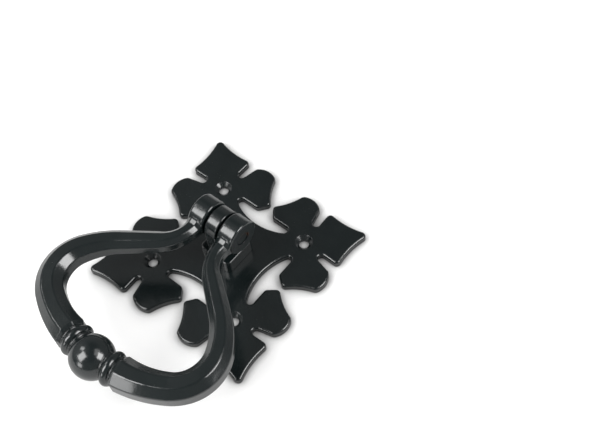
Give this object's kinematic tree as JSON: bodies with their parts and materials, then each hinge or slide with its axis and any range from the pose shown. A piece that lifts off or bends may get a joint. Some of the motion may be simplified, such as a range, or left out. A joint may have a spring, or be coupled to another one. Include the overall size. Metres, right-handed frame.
{
  "type": "ring gate latch",
  "caption": "Black cast iron ring handle for a gate latch: petal-shaped back plate, swivel hub with a square spindle socket, and a hinged pear-shaped ring with a ball grip.",
  "frame": {"origin": "on the spindle axis, at the back face of the plate, in the middle of the screw holes", "axes": "+Z out of the plate towards the user along the spindle axis, X along the hinge pin, -Y towards the ball of the ring"},
  "size_m": [0.1034, 0.1437, 0.0393],
  "materials": {
    "coated_iron": "semi-gloss black powder coat",
    "coated_pin": "semi-gloss black coat"
  },
  "bodies": {
    "plate": {"back_plate": "coated_iron"},
    "hub": {"swivel_hub": "coated_iron", "grub_screw": "coated_pin"},
    "ring": {"ring_handle": "coated_iron", "hinge_pin": "coated_pin"}
  },
  "joints": [
    {"name": "hub_turn", "type": "hinge", "parent": "plate", "child": "hub", "pos_m": [0, 0, 0], "axis": [0, 0, 1], "continuous": true},
    {"name": "ring_swing", "type": "hinge", "parent": "hub", "child": "ring", "pos_m": [0, 0, 0.029], "axis": [-1, 0, 0], "range_deg": [-12, 192]}
  ]
}
